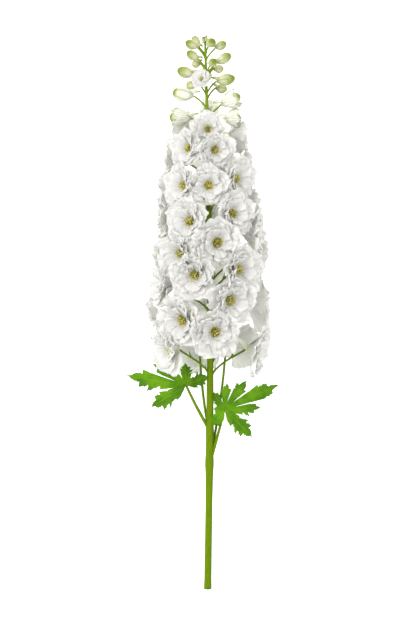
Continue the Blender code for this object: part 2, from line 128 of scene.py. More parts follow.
class Bud(Bloom):
    def __init__(self, name, height, azimuth, distance, slope, length, width):
        self.name = name
        self.height = height * MM
        self.distance = distance * MM
        self.length = length * MM
        self.width = width * MM
        self.base, self.frame = place(self.height, azimuth, self.distance, slope)
        self.middle = self.base + self.frame[2] * self.length / 2
        self.is_white = self.height < WHITE_BELOW

    def reach(self, direction):
        """How far the bud reaches from its middle in a direction."""
        along = direction.dot(self.frame[2])
        return math.hypot(along * self.length / 2, math.sqrt(max(0, 1 - along * along)) * self.width / 2)

    def girth(self, share):
        """The radius at a share of the length."""
        if share < 0.5:
            profile = 0.26 + 0.8 * math.sin(math.pi * share) ** 0.9
        else:
            profile = 0.2 + 0.86 * math.cos(math.pi * (share - 0.5)) ** 0.6
        return self.width / 2 * profile * (WHITE_FULLNESS if self.is_white else YOUNG_FULLNESS)

    @staticmethod
    def folds(turn, share):
        """The folded sepals make soft ridges, which wind a little along the bud."""
        return 0.86 + 0.17 * abs(math.cos(BUD_SEPALS / 2 * turn + 1.2 * share))

    def spur(self):
        """The points and radii of the spur, which ends short of the stem."""
        back = min(SPUR_LENGTH, SPUR_REACH * self.distance / self.length) * self.length
        line = []
        for up, out, _ in BUD_SPUR:
            unit = back if out < 0 else self.length
            line.append(self.point(0, up * self.width, out * unit))
        return line, [radius * self.width for _, _, radius in BUD_SPUR]

    def opening_sepal(self, number):
        """A ruffled outer sepal of an opening bud, as a function of the shares across and along it."""

        def spot(across, along):
            lean = math.sin(math.pi / 2 * min(1, 1.25 * along))
            girth = self.width * (0.16 + 0.56 * lean + 0.1 * along * along)
            ruffle = 0.03 * math.sin(8 * across + 5 * along + 2 * number) * along
            reach = girth + self.width * (ruffle + 0.02 * (number % 2))
            half_angle = 0.66 * (1 - along**5) ** 0.5 * (0.5 + 0.5 * min(1, 2 * along))
            turn = math.radians(360 / OPENING_SEPALS * number + 12) + half_angle * across
            length = 0.8 + 0.06 * (number % 3) - 0.08 * across * across
            out = self.length * (0.04 + length * along)
            point = self.point(math.sin(turn) * reach, math.cos(turn) * reach, out)
            return point, ((across + 1) / 2, 0.26 + 0.16 * along)

        return spot


class Shape:
    """Gathers the points and faces of one piece, with two surface coordinates for each point, its marks, and
    the number of the finish for each face."""

    def __init__(self):
        self.points = []
        self.faces = []
        self.marks = []
        self.finishes = []

    def sheet(self, rows, finish=0, closed=False):
        """Joins rows of points and marks. A closed sheet goes round, and is filled at both ends."""
        start = len(self.points)
        wide = len(rows[0])
        for row in rows:
            self.points += [point for point, _ in row]
            self.marks += [marks for _, marks in row]
        for line in range(len(rows) - 1):
            for column in range(wide if closed else wide - 1):
                here = start + line * wide + column
                beside = start + line * wide + (column + 1) % wide
                self.faces.append((here, beside, beside + wide, here + wide))
                self.finishes.append(finish)
        if closed:
            last = start + (len(rows) - 1) * wide
            self.faces.append(tuple(range(start, start + wide))[::-1])
            self.faces.append(tuple(range(last, last + wide)))
            self.finishes += [finish, finish]

    def blade(self, spot, columns, lines):
        """An open sheet. spot gives a point and its marks, for across from -1 to 1 and along from 0 to 1."""
        self.sheet([[spot(across, along) for across in steps(columns, -1, 1)] for along in steps(lines)])

    def tube(self, centres, radii, sides, finish=0, ribs=None):
        """A round tube along the centres. ribs(turn, share) scales the radius."""
        lead = Vector((0.31, 0.17, 0.93))  # no stalk runs this way
        rows = []
        for number, (centre, radius) in enumerate(zip(centres, radii)):
            along = centres[min(number + 1, len(centres) - 1)] - centres[max(number - 1, 0)]
            side = along.cross(lead).normalized()
            other = side.cross(along).normalized()
            share = number / (len(centres) - 1)
            row = []
            for corner in range(sides):
                turn = 2 * math.pi * corner / sides
                reach = radius * (ribs(turn, share) if ribs else 1)
                spoke = side * math.cos(turn) + other * math.sin(turn)
                row.append((centre + spoke * reach, (corner / sides, share)))
            rows.append(row)
        self.sheet(rows, finish, closed=True)

    def piece(self, name, node, finishes, thickness=0):
        """The gathered shape as a piece that stands for a node. Sheets are given their thickness."""
        mesh = bpy.data.meshes.new(name)
        mesh.from_pydata([point + SHIFT for point in self.points], [], self.faces)
        layer = mesh.uv_layers.new(name="form")
        for loop in mesh.loops:
            layer.data[loop.index].uv = self.marks[loop.vertex_index]
        for polygon, finish in zip(mesh.polygons, self.finishes):
            polygon.material_index = finish
            polygon.use_smooth = True
        for finish in finishes:
            mesh.materials.append(finish.material)
        obj = bpy.data.objects.new(name, mesh)
        bpy.context.scene.collection.objects.link(obj)
        if thickness:
            solid = obj.modifiers.new("Thickness", "SOLIDIFY")
            solid.thickness = thickness
            solid.offset = 0
        else:
            shape = bmesh.new()
            shape.from_mesh(mesh)
            bmesh.ops.recalc_face_normals(shape, faces=shape.faces)
            shape.to_mesh(mesh)
            shape.free()
        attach(obj, "root")
        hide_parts(node)


class Value:
    """A socket in a material's nodes. Sums on it add Math nodes, or Vector Math nodes for vectors."""

    def __init__(self, shader, socket):
        self.shader = shader
        self.socket = socket

    def sum(self, operation, first, second):
        plain = all(not isinstance(part, Value) or part.socket.type == "VALUE" for part in (first, second))
        kind = "ShaderNodeMath" if plain else "ShaderNodeVectorMath"
        return self.shader.node(kind, {"operation": operation}, {0: first, 1: second})

    def __add__(self, other):
        return self.sum("ADD", self, other)

    def __radd__(self, other):
        return self.sum("ADD", other, self)

    def __sub__(self, other):
        return self.sum("SUBTRACT", self, other)

    def __rsub__(self, other):
        return self.sum("SUBTRACT", other, self)

    def __mul__(self, other):
        return self.sum("MULTIPLY", self, other)

    def __rmul__(self, other):
        return self.sum("MULTIPLY", other, self)

    def of(self, operation, *others):
        """Any other operation of a Math node, such as a sine."""
        return self.shader.node("ShaderNodeMath", {"operation": operation}, dict(enumerate((self, *others))))

    def between(self, low, high):
        """0 below low, 1 above high, and smooth between them."""
        inputs = {"Value": self, "From Min": low, "From Max": high}
        return self.shader.node("ShaderNodeMapRange", {"interpolation_type": "SMOOTHSTEP"}, inputs)

    def mix(self, first, second):
        """The first colour where this is 0, and the second where it is 1."""
        inputs = {0: self, 6: first, 7: second}  # a Mix node's factor and its two colours
        return self.shader.node("ShaderNodeMix", {"data_type": "RGBA"}, inputs, output=2)


class Shader:
    """A material under construction."""

    def __init__(self, name, roughness, **constants):
        self.material = bpy.data.materials.new(name)
        self.material.use_nodes = True
        self.tree = self.material.node_tree
        self.principled = self.tree.nodes["Principled BSDF"]
        self.feed(self.principled, {"Roughness": roughness})
        self.feed(self.principled, {key.replace("_", " "): value for key, value in constants.items()})

    def feed(self, node, inputs):
        """Links the inputs that are sockets, and sets the rest on the node. One number fills a vector."""
        for key, value in inputs.items():
            socket = node.inputs[key]
            if isinstance(value, Value):
                self.tree.links.new(value.socket, socket)
            elif hasattr(socket.default_value, "__len__"):
                values = list(value) if hasattr(value, "__len__") else [value] * 3
                socket.default_value = (values + [1.0])[: len(socket.default_value)]
            else:
                socket.default_value = value

    def node(self, kind, settings=None, inputs=None, output=0):
        made = self.tree.nodes.new(kind)
        for name, value in (settings or {}).items():
            setattr(made, name, value)
        self.feed(made, inputs or {})
        return Value(self, made.outputs[output])

    def marks(self):
        """The two surface coordinates of the piece."""
        form = self.node("ShaderNodeUVMap", {"uv_map": "form"})
        return [self.node("ShaderNodeSeparateXYZ", None, {0: form}, output) for output in (0, 1)]

    def spot(self):
        """The place on the part, in metres."""
        return self.node("ShaderNodeTexCoord", output="Object")

    def noise(self, spot, scale, detail=3.0):
        return self.node("ShaderNodeTexNoise", None, {"Vector": spot, "Scale": scale, "Detail": detail})

    def colour(self, value):
        self.feed(self.principled, {"Base Color": value})

    def bump(self, height, strength, distance):
        inputs = {"Height": height, "Strength": strength, "Distance": distance}
        self.feed(self.principled, {"Normal": self.node("ShaderNodeBump", None, inputs)})


def bud_finish(name, body, base):
    """Matt skin, greener at the foot and the tip. The seams are green, and darker with painted shade in their
    creases.
    """
    finish = Shader(name, 0.55, Specular_IOR_Level=0.25)
    around, along = finish.marks()
    mottle = finish.noise(finish.spot(), 260)
    winding = (around + along * 0.06) * (2 * math.pi * BUD_SEPALS)
    # Seams: the sepals' own green, deepened as painted shade in the creases that the bump sinks there.
    seam_and_painted_shade = winding.of("SINE").between(0.55, 1.0)
    blush = (along * 0.9 + mottle * 0.5 - 0.1).between(0.35, 0.95)
    tip = (along + mottle * 0.24).between(0.88, 1.1)
    foot = 1 - (along + mottle * 0.2).between(0.1, 0.4)
    shade = (seam_and_painted_shade * 0.55).mix(blush.mix(body, base), BUD_PALE)
    finish.colour(tip.mix((foot * 0.7).mix(shade, BUD_PALE), BUD_TIP))
    finish.bump(finish.noise(finish.spot(), 700) - seam_and_painted_shade, 0.3, 0.3 * MM)
    return finish


young_bud = bud_finish("young bud", BUD_CREAM, BUD_PALE)
white_bud = bud_finish("white bud", BUD_WHITE, BUD_CREAM)

buds = [Bud(f"bud_{number:02d}", *numbers) for number, numbers in enumerate(BUDS, 1)]
for bud in buds:
    shape = Shape()
    centres = [bud.point(0, 0, bud.length * share) for share in steps(BUD_RINGS)]
    shape.tube(centres, [bud.girth(share) for share in steps(BUD_RINGS)], BUD_SIDES, ribs=bud.folds)
    shape.tube(*bud.spur(), 8)
    shape.piece(f"{bud.name}_body", bud.name, [white_bud if bud.is_white else young_bud])
    if bud.height > OPENING_BELOW:
        continue
    shape = Shape()
    for number in range(OPENING_SEPALS):
        shape.blade(bud.opening_sepal(number), OPENING_STEPS, OPENING_STEPS)
    shape.piece(f"{bud.name}_sepals", bud.name, [white_bud], OPENING_THICKNESS)

# Leaves.
# Two palmate leaves below the florets, thin and bright green, with pointed toothed lobes, sunken veins and a
# paler midrib in each lobe. Living leaf blades, each grown on its stalk from the stem.

# In millimetres and degrees. node is where the stalk leaves the stem: height and turn round it. base is the
# end of the stalk: across, height and above the stem. A lobe has its direction, length and half width.
LEAVES = dict(
    leaf_left=dict(
        node=(202, -70), base=(-30, 259, 3),
        lobes=((22, 30, 11), (92, 28, 10), (147, 50, 11), (171, 76, 15), (212, 52, 14)),
    ),
    leaf_right=dict(
        node=(160, 70), base=(18, 229, 3),
        lobes=(
            (-45, 50, 13), (3, 46, 11), (24, 75, 15), (52, 46, 11), (84, 33, 9), (124, 26, 9), (233, 26, 11),
        ),
    ),
)
LEAF_THICKNESS = 0.4 * MM
LEAF_ON_STALK = Vector((0, 0, 1.2))  # the blade's foot above the end of its stalk, in millimetres
LOBE_COLUMNS = 16
LOBE_LINES = 60
# A lobe's outline: share of its length, and of its half width
MARGIN = ((0, 0), (0.2, 0.44), (0.36, 0.78), (0.5, 1.08), (0.64, 0.98), (0.78, 0.6), (0.9, 0.22), (1, 0))
TEETH = ((5.5, 0.5), (14, 0.18))  # how many along a lobe, and how deep
TEETH_FROM = 0.26
TEETH_FULL = 0.4
LOBES_PART_AT = 0.29  # of the shorter one's length
LOBES_LAP = 0.25  # in millimetres
OUTER_LOBE_ROOM = 80  # degrees
LEAF_DARK = (0.055, 0.17, 0.002)
LEAF_BRIGHT = (0.12, 0.30, 0.003)
LEAF_VEIN = (0.21, 0.38, 0.02)


def leaf_stalk(leaf):
    """Three points that the stalk passes through, from the stem to the blade."""
    height, azimuth = leaf["node"]
    start, _ = place(height * MM, azimuth, 0, 0)
    across, base_height, lift = leaf["base"]
    end = axis_point(base_height * MM) + Vector((across, 0, lift)) * MM
    middle = start.lerp(end, 0.5) + Vector((0.03 * across, 0, 1)) * MM
    return [start, middle, end]


def lobe(leaf, number):
    """One lobe, as a function of the shares across and along it. Near its foot it joins its neighbours, then
    a gap parts them. Further out its sides have teeth that point forward."""
    lobes = leaf["lobes"]
    direction, length, half_width = lobes[number]
    turn = math.radians(direction)
    ahead = Vector((math.cos(turn), math.sin(turn), 0))
    left = Vector((-ahead.y, ahead.x, 0))
    foot = leaf_stalk(leaf)[-1] + LEAF_ON_STALK * MM
    walls = {}
    for side in (-1, 1):
        beside = number + side
        if 0 <= beside < len(lobes):
            apart = abs(lobes[beside][0] - direction)
            parts_at = LOBES_PART_AT * min(length, lobes[beside][1])
        else:
            apart = OUTER_LOBE_ROOM
            parts_at = 0
        walls[side] = (math.tan(math.radians(apart / 2)), parts_at)

    def spot(across, along):
        side = 1 if across > 0 else -1
        slant, parts_at = walls[side]
        out = along * length
        toothed = min(1, max(0, (along - TEETH_FROM) / (TEETH_FULL - TEETH_FROM)))
        cut = sum(depth * (1 - (along * count + 0.3 * side * number) % 1) for count, depth in TEETH)
        reach = half_width * float(np.interp(along, *zip(*MARGIN))) * (1.08 - cut * toothed)
        if out < parts_at:
            reach = out * slant + LOBES_LAP
        else:
            reach = min(reach, out * slant - LOBES_LAP * min(1, (out - parts_at) / 5))
        off = across * max(0, reach)
        far = math.hypot(out, off)
        lift = 0.9 * math.sin(far / 7 + 2) - 0.0018 * far**2 + 0.2 * abs(off) + 0.25 * math.sin(off * 1.7)
        sweep = 0.55 * abs(off) * toothed * (1 - along) ** 0.5
        return foot + (ahead * (out + sweep) + left * off + UP * lift) * MM, (across, along)

    return spot


leaf_finish = Shader("leaf", 0.6, Specular_IOR_Level=0.12)
aside, along = leaf_finish.marks()
from_rib = aside.of("ABSOLUTE")
rib = 1 - from_rib.between(0.02, 0.09)
branches = ((along - from_rib * 0.42) * 46).of("SINE")
branch = branches.between(0.82, 1.0) * (1 - from_rib.between(0.5, 0.95)) * 0.7
vein = rib.of("MAXIMUM", branch)
mottle = leaf_finish.noise(leaf_finish.spot(), 60)
tissue = mottle.between(0.35, 0.68).mix(LEAF_DARK, LEAF_BRIGHT)
leaf_finish.colour((vein * 0.55).mix(tissue, LEAF_VEIN))
leaf_finish.bump(leaf_finish.noise(leaf_finish.spot(), 220) * 0.6 - vein, 0.5, 0.6 * MM)

for name, leaf in LEAVES.items():
    shape = Shape()
    for number in range(len(leaf["lobes"])):
        shape.blade(lobe(leaf, number), LOBE_COLUMNS, LOBE_LINES)
    shape.piece(f"{name}_blade", name, [leaf_finish], LEAF_THICKNESS)

# Florets.
# The open florets: five broad white sepals, three whorls of smaller crinkled petals, an olive tuft of
# stamens, and a spur behind. Thin living petals, joined to the receptacle at the end of each pedicel.

FLORETS = 38
FLORET_SPAN = 68 * MM
LOWEST_FLORET = 304 * MM
HIGHEST_FLORET = 588 * MM
ROOM_AT_TOP = 12 * MM
THROAT_RADIUS = 49 * MM
MIDDLE_AHEAD = 0.45  # of a floret's size, in front of its base
PRESSED = 14 * MM  # how near the table a floret's base comes
# Height up the stem and turn round it of the florets that face the viewer, in millimetres and degrees
FACING_FLORETS = (
    (306, 76), (308, -58), (330, 6), (344, -35), (369, 25), (399, -19), (404, 37), (424, -40), (436, 10),
    (462, -27), (470, 33), (505, -41), (506, 0), (514, 47), (549, 12), (551, -38), (574, 1),
)
# The half open floret: height, turn, distance from the stem, size and slope
OPENING_FLORET = (637 * MM, -22, 12.5 * MM, 12.5 * MM, 12)
GRID_HEIGHTS = 40
GRID_TURNS = 72
SIZE_SPREAD = (0.96, 1.05)
SLOPE_SPREAD = (-9, 9)
LOWEST_DROOP = 10
DROOP_OVER = 30 * MM
# Neighbours share their room by planes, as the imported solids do, whose blades are thicker
NEIGHBOURS_WITHIN = 1.6  # of both sizes together
LEAF_WITHIN = 1.4  # of the floret's size
LAP_SPREAD = (0.0, 0.25)
SOLID_BLADE = 0.7 * MM
SOLID_CLEAR = 0.35 * MM
PETALS = 5
# Each whorl of petals, with lengths as shares of the floret's size and angles in degrees. lean is how far the
# petals lean out from the floret's axis, at their feet and at their tips. turn is where the first one stands.
# ring is the circle of their feet, and how far forward it lies. wrap is how far they reach past their own
# part of the circle. pale_from is how pale their feet are, where 0 is the yellow of the throat.
SEPALS = dict(
    length=0.93, half_width=0.54, lean=(42, 82), turn=0, ring=(0.18, 0.0),
    columns=16, lines=12, ruffle=0.075, wrap=9, pale_from=0.15,
)
BETWEEN_PETALS = dict(
    length=0.8, half_width=0.36, lean=(34, 72), turn=18, ring=(0.17, 0.08),
    columns=12, lines=9, ruffle=0.055, wrap=2, pale_from=0.05,
)
INNER_PETALS = dict(
    length=0.64, half_width=0.34, lean=(26, 62), turn=36, ring=(0.15, 0.15),
    columns=12, lines=9, ruffle=0.05, wrap=9, pale_from=0,
)
INMOST_PETALS = dict(
    length=0.3, half_width=0.18, lean=(24, 62), turn=8, ring=(0.15, 0.17),
    columns=8, lines=6, ruffle=0.045, wrap=6, pale_from=0,
)
PETAL_THICKNESS = 0.3 * MM
LENGTH_SPREAD = (0.94, 1.06)
WIDTH_SPREAD = (0.95, 1.08)
LEAN_SPREAD = (-5, 5)
PETAL_TWIST = 9  # degrees
BETWEEN_BLADES = 2.5  # degrees from a blade's edge to the middle between it and the next
BROADEST = 0.66
CUTS = (0, 0.08, 0.16, 0.24, 0.32, 0.4, 0.5, 0.6)  # how much shorter a petal may be made to fit
BENDS = sorted([*range(-60, 0, 6), *range(0, 48, 6)], key=abs)  # how far it may be bent for that, in degrees
EASED = 0.62  # how far it springs back from the lean that its neighbours press it to
EASED_LENGTH = 1.13  # a thin petal is longer and broader than the solid blade
EASED_WIDTH = 1.16
TABLE_SOFT = 2.2 * MM  # the table starts to press a petal here, and lets it come no lower than TABLE_HARD
TABLE_HARD = 0.6 * MM
# Waves of a petal: depth, and how many radians they turn across it, along it and with its own phase
EDGE_WAVES = ((1.0, 9, 7, 3), (0.5, 21, -5, 1))
BLADE_WAVE = (0.34, 10, 2, 1)
PETAL_WHITE = (0.945, 0.94, 0.92)
# PETAL_SHADE is the grey of the streaks on the petals: partly faint veins, partly painted shade of the
# wrinkles.
PETAL_SHADE = (0.82, 0.82, 0.83)
PETAL_THROAT = (0.82, 0.79, 0.22)
PETAL_GLOW = (0.95, 0.945, 0.91)
PETAL_TRANSLUCENCE = 0.44
# The receptacle and its spur, from the spur's end: up, out and radius, as shares of the floret's size
HEART = (
    (0.31, -0.58, 0.02), (0.27, -0.5, 0.04), (0.2, -0.33, 0.065), (0.11, -0.17, 0.095), (0.02, -0.04, 0.13),
    (0, 0.05, 0.14), (0, 0.12, 0.1), (0, 0.16, 0.05),
)
HEART_WHITE = (0.85, 0.87, 0.74)
HEART_GREEN = (0.45, 0.50, 0.14)
STAMENS = 22
STAMEN_TURN = 2.4
STAMEN_REACH = (0.15, 0.26)
FILAMENT_RADII = (0.02, 0.014, 0.012)
KNOB = ((-0.02, 0.008), (0.0, 0.034), (0.03, 0.03), (0.05, 0.01))  # an anther: how far ahead, and its radius
FILAMENT_FOOT = (0.30, 0.28, 0.05)
FILAMENT = (0.55, 0.53, 0.04)
ANTHER = (0.82, 0.74, 0.22)
ANTHER_DARK = (0.27, 0.21, 0.01)
random_draw = random.Random(7)
extra_draw = random.Random(11)


def up_the_head(height):
    return (height - LOWEST_FLORET) / (HIGHEST_FLORET - LOWEST_FLORET)


def girth(height):
    """How far from the stem's centre a floret's base is."""
    share = up_the_head(height)
    return THROAT_RADIUS * (1 - 0.08 * share - 0.42 * share**3)


def floret_size(height):
    """Half of a floret's span."""
    return FLORET_SPAN / 2 * (1 - 0.34 * max(0, up_the_head(height)) ** 2)


def floret_spots():
    """Height and turn of each open floret: those that face the viewer, and the rest where most room is."""
    spots = [(height * MM, float(azimuth)) for height, azimuth in FACING_FLORETS]
    free = [
        (LOWEST_FLORET + climb, azimuth)
        for climb in steps(GRID_HEIGHTS, 0, HIGHEST_FLORET - LOWEST_FLORET - ROOM_AT_TOP)
        for azimuth in steps(GRID_TURNS, -180, 180)[:-1]
    ]
    places = [place(height, azimuth, girth(height), 0)[0] for height, azimuth in free]
    taken = [place(height, azimuth, girth(height), 0)[0] for height, azimuth in spots]
    sizes = [floret_size(height) for height, _ in free]
    room = [min((here - there).length for there in taken) / size for here, size in zip(places, sizes)]
    while len(spots) < FLORETS - 1:
        best = max(range(len(free)), key=room.__getitem__)
        spots.append(free[best])
        room = [min(old, (here - places[best]).length / size) for old, here, size in zip(room, places, sizes)]
    return spots


class Floret(Bloom):
    """One open floret, with its size and the planes that its petals stay behind."""

    def __init__(self, name, height, azimuth, distance, size, slope):
        self.name = name
        self.height = height
        self.size = size
        self.base, self.frame = place(height, azimuth, distance, slope)
        downwards = -(self.base - axis_point(height)).normalized().z
        if downwards > 0 and self.base.z < PRESSED:
            lift = (PRESSED - self.base.z) / downwards
            self.base, self.frame = place(height, azimuth, distance - lift, slope)
        self.middle = self.base + self.frame[2] * size * MIDDLE_AHEAD
        self.planes = []

    def stay_behind(self, normal, on_plane, clearance):
        self.planes.append((np.array(normal), normal.dot(on_plane) - clearance))

    def fits(self, points):
        return all((points @ normal <= limit).all() for normal, limit in self.planes)


def make_florets():
    made = []
    for number, (height, azimuth) in enumerate(floret_spots(), 1):
        droop = LOWEST_DROOP * max(0, 1 - (height - LOWEST_FLORET) / DROOP_OVER)
        slope = random_draw.uniform(*SLOPE_SPREAD) - droop
        size = floret_size(height) * random_draw.uniform(*SIZE_SPREAD)
        made.append(Floret(f"floret_{number:02d}", height, azimuth, girth(height), size, slope))
    made.append(Floret(f"floret_{FLORETS:02d}", *OPENING_FLORET))
    return made


def share_room(florets, buds, leaves):
    """Puts a plane between each two neighbours, leaning so that one laps over the other."""
    half_blade = SOLID_BLADE / 2
    for index, one in enumerate(florets):
        for other in florets[index + 1 :]:
            apart = other.middle - one.middle
            if apart.length > (one.size + other.size) * NEIGHBOURS_WITHIN:
                continue
            split = one.middle + apart * one.size / (one.size + other.size)
            lean = (one.frame[2] + other.frame[2]) * random_draw.uniform(*LAP_SPREAD)
            sign = 1 if other.height > one.height else -1
            normal = (apart.normalized() + lean * sign).normalized()
            one.stay_behind(normal, split, half_blade + SOLID_CLEAR)
            other.stay_behind(-normal, split, half_blade + SOLID_CLEAR)
        for bud in buds:
            normal = (bud.middle - one.middle).normalized()
            one.stay_behind(normal, bud.middle - normal * bud.reach(normal), half_blade + 2 * SOLID_CLEAR)
        for leaf in leaves:
            spots = [vertex.co - SHIFT for vertex in leaf.data.vertices]
            nearest = min(spots, key=lambda spot: (spot - one.middle).length)
            if (nearest - one.middle).length < LEAF_WITHIN * one.size:
                one.stay_behind((nearest - one.middle).normalized(), nearest, SOLID_BLADE + 2 * SOLID_CLEAR)
        one.stay_behind(-UP, Vector((0, 0, 0)), half_blade)
        one.stay_behind(-one.frame[2], one.point(0, 0, -2 * MM), 0)


class Petal:
    """A blade on a floret. Its middle line leans out from the floret's axis, and its sides wrap round that
    axis, with one side a little in front of the neighbour's."""

    def __init__(self, floret, whorl, number, draw):
        self.floret = floret
        self.whorl = whorl
        self.turn = math.radians(whorl["turn"] + number * 360 / PETALS)
        self.length = floret.size * whorl["length"] * draw.uniform(*LENGTH_SPREAD)
        self.half_width = floret.size * whorl["half_width"] * draw.uniform(*WIDTH_SPREAD)
        self.lean = [math.radians(angle + draw.uniform(*LEAN_SPREAD)) for angle in whorl["lean"]]
        self.phase = draw.uniform(0, 2 * math.pi)
        self.widest_angle = math.radians(180 / PETALS - BETWEEN_BLADES)
        self.free_lean = list(self.lean)
        self.free_length = self.length
        self.free_half_width = self.half_width

    def width_at(self, along):
        """Half its width: narrow at the foot, broadest past the middle, and round at the tip."""
        if along < BROADEST:
            return self.half_width * (0.24 + 0.76 * math.sin(math.pi / 2 * along / BROADEST) ** 1.3)
        return self.half_width * max(0, 1 - ((along - BROADEST) / (1.03 - BROADEST)) ** 2.6) ** 0.42

    def ruffles(self, across, along):
        """The height of the fine waves: crinkled at the rim, softer on the blade, with a sunken midrib."""

        def wave(depth, turns_across, turns_along, turns_phase):
            return depth * math.sin(turns_across * across + turns_along * along + turns_phase * self.phase)

        edge = max(abs(across) ** 3 * along, max(0, along - 0.55) / 0.45)
        midrib = 0.35 * math.exp(-((across / 0.12) ** 2)) * along * (1 - 0.5 * along)
        return edge * sum(wave(*numbers) for numbers in EDGE_WAVES) + along * wave(*BLADE_WAVE) - midrib

    def surface(self, across, along, ruffle=0.0):
        """A point of the blade, whose middle line is an arc. Only ruffled blades are pressed by the table."""
        first, last = self.lean
        bend = last - first if abs(last - first) > 1e-3 else 1e-3
        lean = first + bend * along
        ring, rise = self.whorl["ring"]
        spread = ring * self.floret.size + self.length * (math.cos(first) - math.cos(lean)) / bend
        forward = rise * self.floret.size + self.length * (math.sin(lean) - math.sin(first)) / bend
        reach = min(self.widest_angle, self.width_at(along) / spread)
        wave = 0.06 * self.half_width * along**2 * math.sin(6 * along + 4 * across + self.phase)
        lift = math.radians(PETAL_TWIST) * across * reach * spread + wave
        if ruffle:
            lift += ruffle * self.ruffles(across, along)
        spread -= lift * math.cos(lean)
        forward += lift * math.sin(lean)
        turn = self.turn + across * reach
        spot = self.floret.point(math.sin(turn) * spread, math.cos(turn) * spread, forward)
        if ruffle and spot.z < TABLE_SOFT:
            give = TABLE_SOFT - TABLE_HARD
            spot.z = TABLE_HARD + give * math.exp((spot.z - TABLE_SOFT) / give)
        return spot

    def finished(self, across, along):
        """A point of the ruffled blade with its notched rim, and its marks."""
        notch = math.sin(5 * across + self.phase) + 0.8 * math.sin(13 * across - 2 * self.phase)
        reach = along - 0.16 * across**2 * along**2 + 0.035 * along**5 * (notch - 0.6)
        marks = (across, self.whorl["pale_from"] + along * self.whorl["length"])
        return self.surface(across, reach, self.whorl["ruffle"] * self.floret.size), marks

    def samples(self):
        """Points of the plain blade, to test it by."""
        places = [(across, along) for along in (0.3, 0.5, 0.7, 0.86, 1.0) for across in (-1, -0.5, 0, 0.5, 1)]
        return np.array([self.surface(*spot) for spot in places])

    def most_lean(self, behind, apart):
        """The lean, at foot and tip, that keeps it inside the petals behind it by the angle apart."""
        angle = math.radians(apart)
        return [min([math.pi, *(outer.lean[end] - angle for outer in behind)]) for end in (0, 1)]

    def bend_clear(self, behind=(), apart=0):
        """Leans the blade in or out, and shortens it if need be, until it is behind its floret's planes."""
        most = self.most_lean(behind, apart)
        for cut in CUTS:
            for amount in BENDS:
                change = math.radians(amount)
                opened = (self.free_lean[0] + 0.6 * change, self.free_lean[1] + change)
                self.lean = [max(math.radians(3), min(pair)) for pair in zip(opened, most)]
                self.length = self.free_length * (1 - cut)
                self.half_width = self.free_half_width * (1 - 0.7 * cut)
                if self.floret.fits(self.samples()):
                    return

    def ease(self, behind=(), apart=0, open_by=0):
        """Lets it spring back part of the way, so that it laps its neighbours, but not into the table."""
        pressed_lean = self.lean
        pressed_length = self.length
        pressed_half_width = self.half_width
        most = self.most_lean(behind, apart)
        free = [angle + math.radians(open_by) for angle in self.free_lean]
        for share in (EASED, 0.6 * EASED, 0.3 * EASED, 0):
            eased = [pressed + share * (wanted - pressed) for pressed, wanted in zip(pressed_lean, free)]
            self.lean = [max(0.05, min(pair)) for pair in zip(eased, most)]
            self.length = EASED_LENGTH * (pressed_length + share * (self.free_length - pressed_length))
            wider = share * (self.free_half_width - pressed_half_width)
            self.half_width = EASED_WIDTH * (pressed_half_width + wider)
            if self.samples()[:, 2].min() > 0.7 * MM:
                return


def petals_of(floret):
    """The petals of four whorls, from the sepals inwards: each is bent clear, and then eased."""
    sepals = [Petal(floret, SEPALS, number, random_draw) for number in range(PETALS)]
    for petal in sepals:
        petal.bend_clear()
    inner = [Petal(floret, INNER_PETALS, number, random_draw) for number in range(PETALS)]
    for number, petal in enumerate(inner):
        petal.bend_clear(behind=(sepals[number], sepals[(number + 1) % PETALS]), apart=14)
    between = [Petal(floret, BETWEEN_PETALS, number, extra_draw) for number in range(PETALS)]
    for number, petal in enumerate(between):
        petal.bend_clear(behind=(sepals[number], sepals[(number + 1) % PETALS]), apart=6)
    inmost = [Petal(floret, INMOST_PETALS, number, extra_draw) for number in range(PETALS)]
    for number, petal in enumerate(inmost):
        petal.bend_clear(behind=(inner[number], inner[number - 1]), apart=6)
    for petal in sepals:
        petal.ease()
    for number, petal in enumerate(between):
        petal.ease((sepals[number], sepals[(number + 1) % PETALS]), apart=4, open_by=20)
    for number, petal in enumerate(inner):
        petal.ease((between[number], between[(number + 1) % PETALS]), apart=5, open_by=40)
    for number, petal in enumerate(inmost):
        petal.ease((inner[number], inner[number - 1]), apart=5, open_by=34)
    petals = [*sepals, *between, *inner, *inmost]
    for petal in petals:
        petal.widest_angle += math.radians(petal.whorl["wrap"])
    return petals


def stamen(shape, floret, number):
    """A filament that curls out from the heart's top, and the anther on its end."""
    size = floret.size
    turn = number * STAMEN_TURN
    lean = math.radians(4 + 2.2 * number + extra_draw.uniform(*LEAN_SPREAD))
    reach = size * extra_draw.uniform(*STAMEN_REACH)
    start = (0.012 + 0.003 * number) * size
    line = []
    for share in (0, 0.5, 1):
        spread = start + reach * share * math.sin(lean * (0.5 + share))
        forward = 0.1 * size + reach * share * math.cos(lean)
        line.append(floret.point(math.sin(turn) * spread, math.cos(turn) * spread, forward))
    shape.tube(line, [radius * size for radius in FILAMENT_RADII], 5, finish=1)
    ahead = (line[2] - line[1]).normalized()
    knob = [line[2] + ahead * size * far for far, _ in KNOB]
    shape.tube(knob, [radius * size for _, radius in KNOB], 6, finish=2)


petal_finish = Shader("petal", 0.55, Sheen_Weight=0.15)
across, along = petal_finish.marks()
streaks = petal_finish.node("ShaderNodeCombineXYZ", None, {0: across * 9, 1: along * 1.2, 2: 0.0})
own = petal_finish.node("ShaderNodeObjectInfo", output="Random")
lines = petal_finish.noise(streaks + own * 20, 3.2, 2.0)
throat = 1 - along.between(0.05, 0.26)
